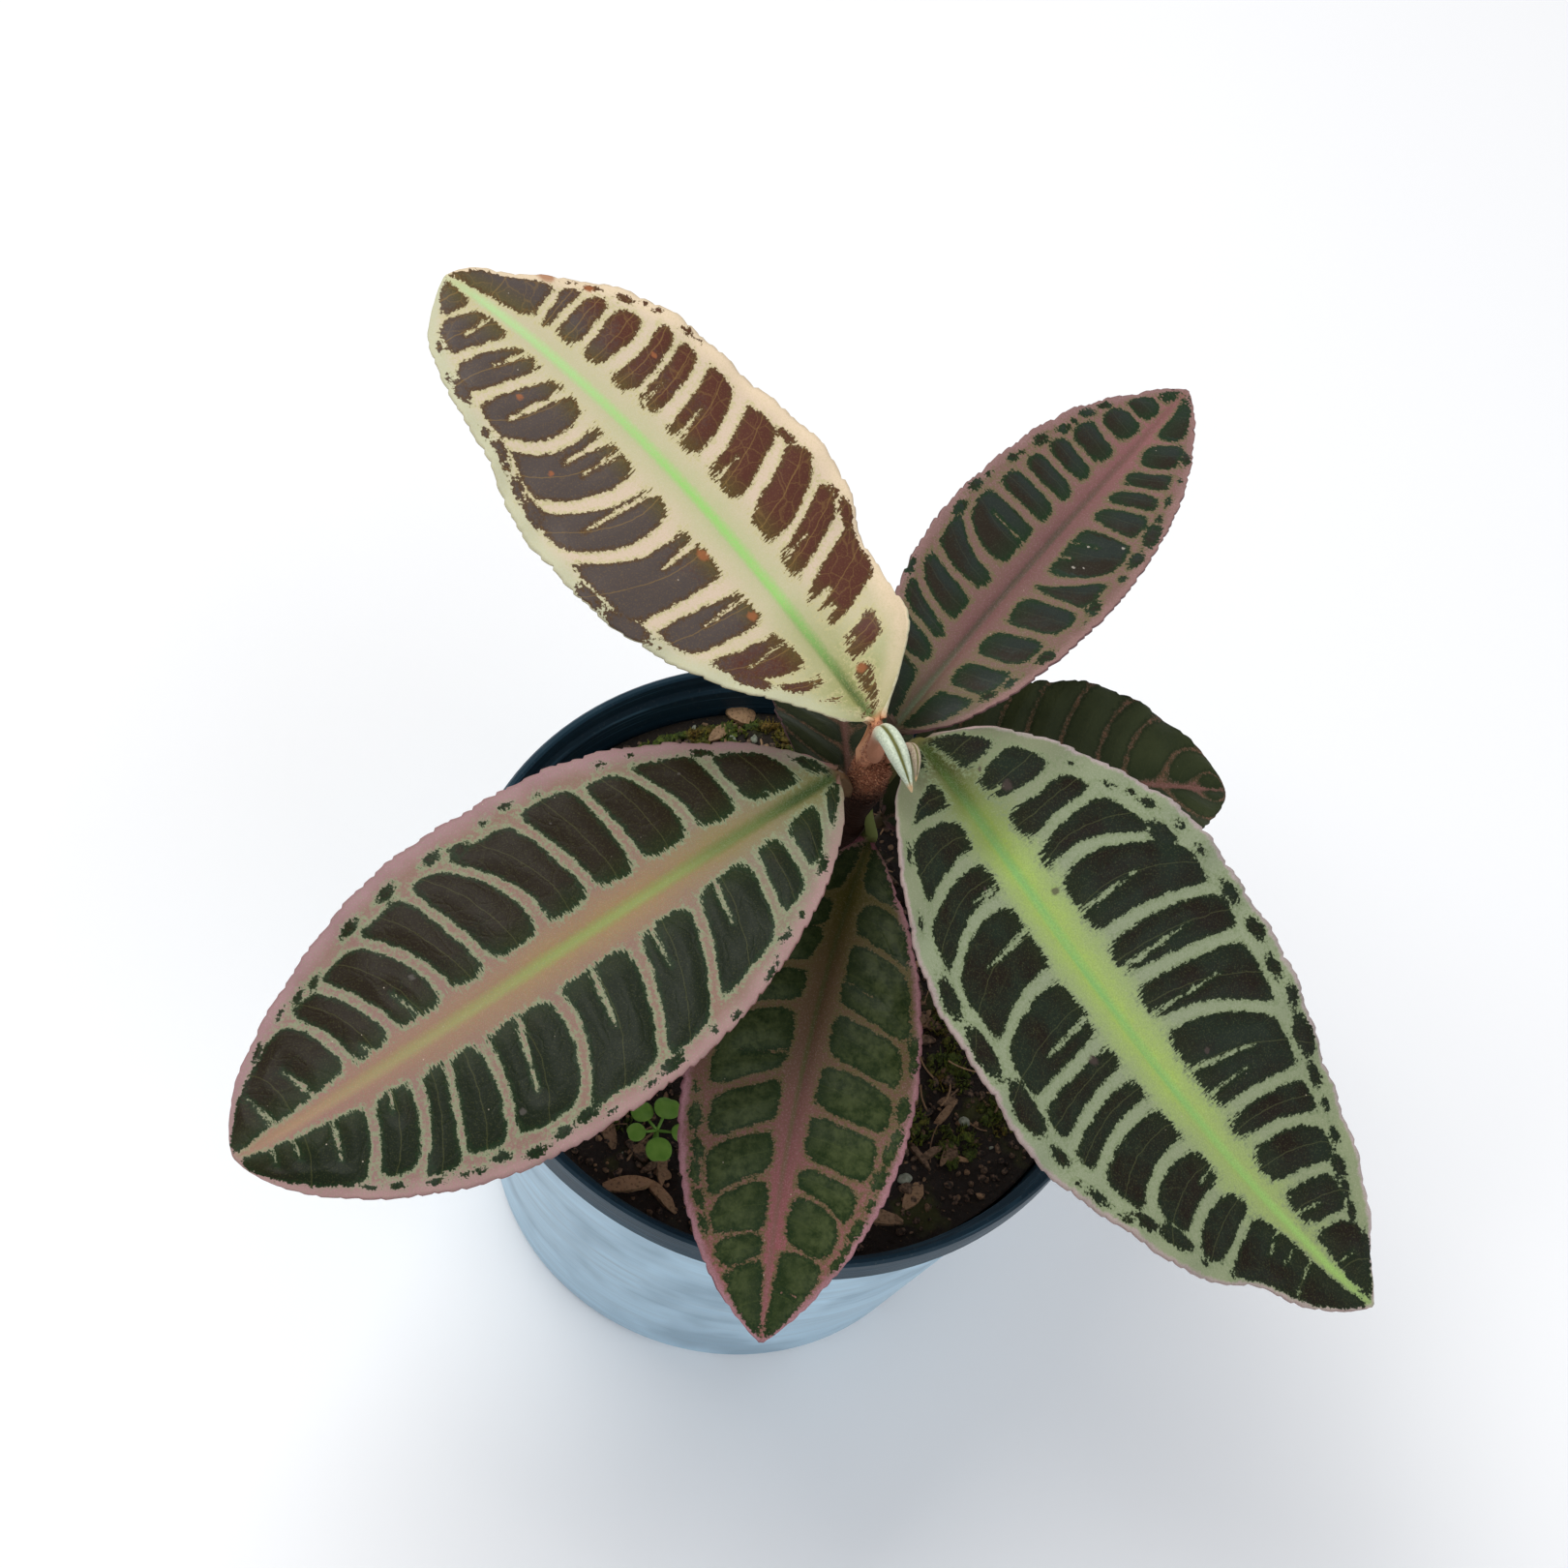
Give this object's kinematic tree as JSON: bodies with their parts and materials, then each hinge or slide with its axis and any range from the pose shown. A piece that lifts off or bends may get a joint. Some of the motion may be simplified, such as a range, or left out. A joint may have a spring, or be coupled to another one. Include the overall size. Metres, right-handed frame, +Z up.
{
  "type": "potted labisia",
  "caption": "Potted labisia with broad serrate leaves, dark patches between pale veins, on one short stem in a tapered black plastic nursery pot of potting mix.",
  "frame": {"origin": "centre of the pot's flat underside", "axes": "+Z up along the pot's axis; -Y is the side the plant is seen from"},
  "size_m": [0.1748, 0.1702, 0.152],
  "materials": {
    "pot_plastic": "satin",
    "potting_mix": "matte",
    "stem_bark": "matte",
    "leaf_upper_left": "satin",
    "leaf_upper_right": "satin",
    "leaf_left": "satin",
    "leaf_lower_right": "satin",
    "leaf_front": "satin",
    "leaf_right_back": "satin",
    "leaf_back_low": "satin",
    "leaf_left_low": "satin",
    "young_leaf": "matte",
    "seedling_green": "satin"
  },
  "bodies": {
    "root": {"pot": "pot_plastic", "potting_mix": "potting_mix", "stem": "stem_bark", "leaf_upper_left": "leaf_upper_left", "leaf_upper_right": "leaf_upper_right", "leaf_left": "leaf_left", "leaf_lower_right": "leaf_lower_right", "leaf_front": "leaf_front", "leaf_right_back": "leaf_right_back", "leaf_back_low": "leaf_back_low", "leaf_left_low": "leaf_left_low", "young_leaf": "young_leaf", "young_leaf_bud": "young_leaf", "seedling_front": "seedling_green", "seedling_back": "seedling_green"}
  },
  "joints": []
}
